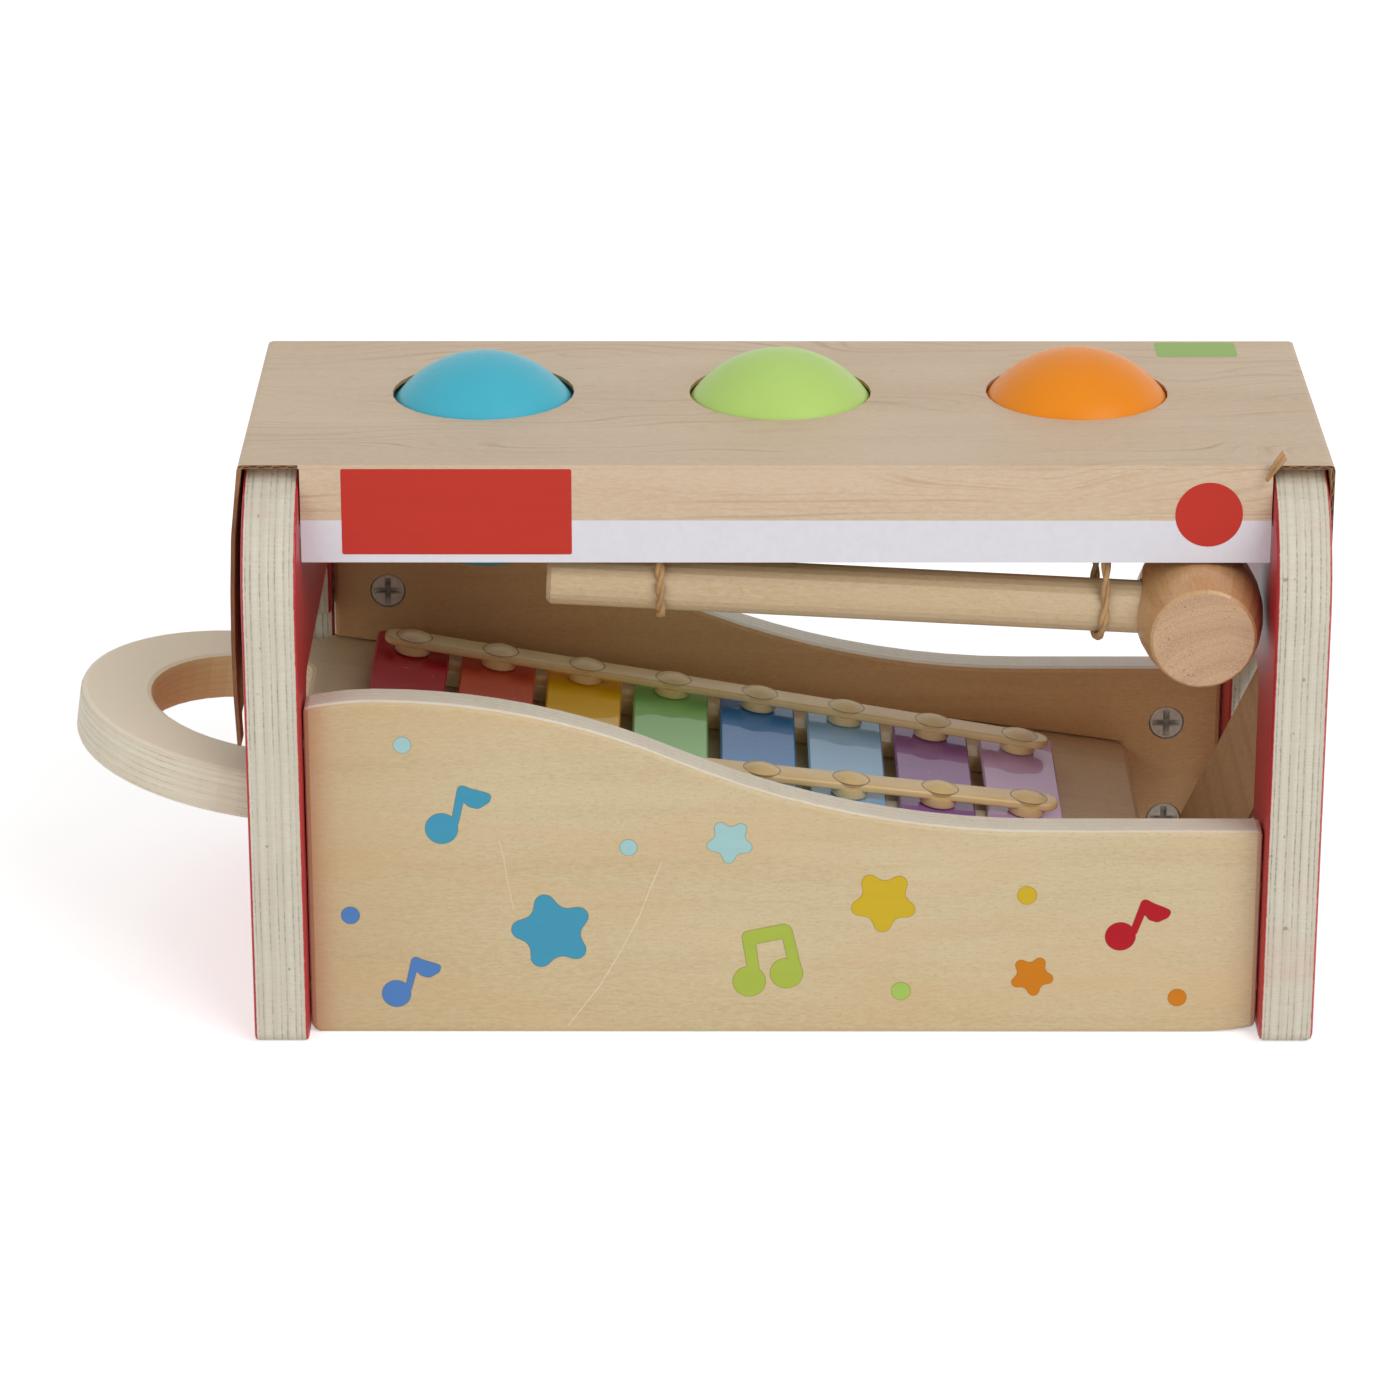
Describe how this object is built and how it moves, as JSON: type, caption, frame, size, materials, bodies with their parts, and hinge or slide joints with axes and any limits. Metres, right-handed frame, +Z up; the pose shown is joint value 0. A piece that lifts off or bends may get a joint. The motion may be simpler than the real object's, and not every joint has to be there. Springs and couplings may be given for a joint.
{
  "type": "xylophone pounding bench",
  "caption": "Wooden pounding bench with balls in its top board, a slide-out xylophone on a sloping board with a ring handle, a mallet tied up with twine, and a printed card sleeve.",
  "frame": {"origin": "on the ground under the middle of the whole length, ring handle included, half way between front and rear", "axes": "+X to the right along the bench, away from the ring handle; +Y from the viewer to the rear; +Z up"},
  "size_m": [0.2862, 0.124, 0.1435],
  "materials": {
    "red_paint": "red painted plywood",
    "panel_wood": "varnished plywood",
    "board_wood": "sanded plywood",
    "mallet_wood": "turned hardwood",
    "card_print": "printed card",
    "rail_plastic": "moulded cream plastic",
    "grip_rubber": "soft rubber",
    "twine": "twisted paper twine",
    "cam_metal": "zinc",
    "screw_steel": "plated steel",
    "ball_blue": "satin lacquer",
    "ball_green": "satin lacquer",
    "ball_orange": "satin lacquer",
    "key_red": "gloss enamel",
    "key_coral": "gloss enamel",
    "key_yellow": "gloss enamel",
    "key_green": "gloss enamel",
    "key_blue": "gloss enamel",
    "key_sky": "gloss enamel",
    "key_purple": "gloss enamel",
    "key_lilac": "gloss enamel"
  },
  "bodies": {
    "bench": {"end_panel_left": "red_paint", "end_panel_right": "red_paint", "front_panel": "panel_wood", "rear_panel": "panel_wood", "top_board": "board_wood", "grip_ring_blue": "grip_rubber", "grip_ring_green": "grip_rubber", "grip_ring_orange": "grip_rubber", "cam_front_left_high": "cam_metal", "cam_front_left_low": "cam_metal", "cam_front_right_high": "cam_metal", "cam_front_right_low": "cam_metal", "cam_rear_left_high": "cam_metal", "cam_rear_left_low": "cam_metal", "cam_rear_right_high": "cam_metal", "cam_rear_right_low": "cam_metal", "bolt_front_left_high": "screw_steel", "bolt_front_left_low": "screw_steel", "bolt_front_right_high": "screw_steel", "bolt_front_right_low": "screw_steel", "bolt_rear_left_high": "screw_steel", "bolt_rear_left_low": "screw_steel", "bolt_rear_right_high": "screw_steel", "bolt_rear_right_low": "screw_steel", "dowel_left_front": "board_wood", "dowel_left_rear": "board_wood", "dowel_right_front": "board_wood", "dowel_right_rear": "board_wood", "twine_tie_left": "twine", "twine_tie_right": "twine", "twine_end": "twine", "card_sleeve": "card_print"},
    "xylophone": {"xylophone_board": "board_wood", "key_red": "key_red", "key_coral": "key_coral", "key_yellow": "key_yellow", "key_green": "key_green", "key_blue": "key_blue", "key_sky": "key_sky", "key_purple": "key_purple", "key_lilac": "key_lilac", "top_rail_front": "rail_plastic", "top_rail_rear": "rail_plastic", "base_rail_front": "rail_plastic", "base_rail_rear": "rail_plastic", "rail_screw_front_left": "screw_steel", "rail_screw_front_right": "screw_steel", "rail_screw_rear_left": "screw_steel", "rail_screw_rear_right": "screw_steel"},
    "ball_blue": {"ball_blue": "ball_blue"},
    "ball_green": {"ball_green": "ball_green"},
    "ball_orange": {"ball_orange": "ball_orange"},
    "mallet": {"mallet_head": "mallet_wood", "mallet_handle": "mallet_wood"}
  },
  "joints": [
    {"name": "xylophone_slide", "type": "slide", "parent": "bench", "child": "xylophone", "axis": [-0.9898, 0, 0.1425], "range_m": [0, 0.2118]},
    {"name": "ball_blue_drop", "type": "slide", "parent": "bench", "child": "ball_blue", "axis": [0, 0, -1], "range_m": [0, 0.0333]},
    {"name": "ball_green_drop", "type": "slide", "parent": "bench", "child": "ball_green", "axis": [0, 0, -1], "range_m": [0, 0.0421]},
    {"name": "ball_orange_drop", "type": "slide", "parent": "bench", "child": "ball_orange", "axis": [0, 0, -1], "range_m": [0, 0.0509]},
    {"name": "mallet_release", "type": "slide", "parent": "bench", "child": "mallet", "axis": [0, -0.9063, -0.4226], "range_m": [0, 0.06], "deforming": ["twine_tie_left", "twine_tie_right"]}
  ]
}
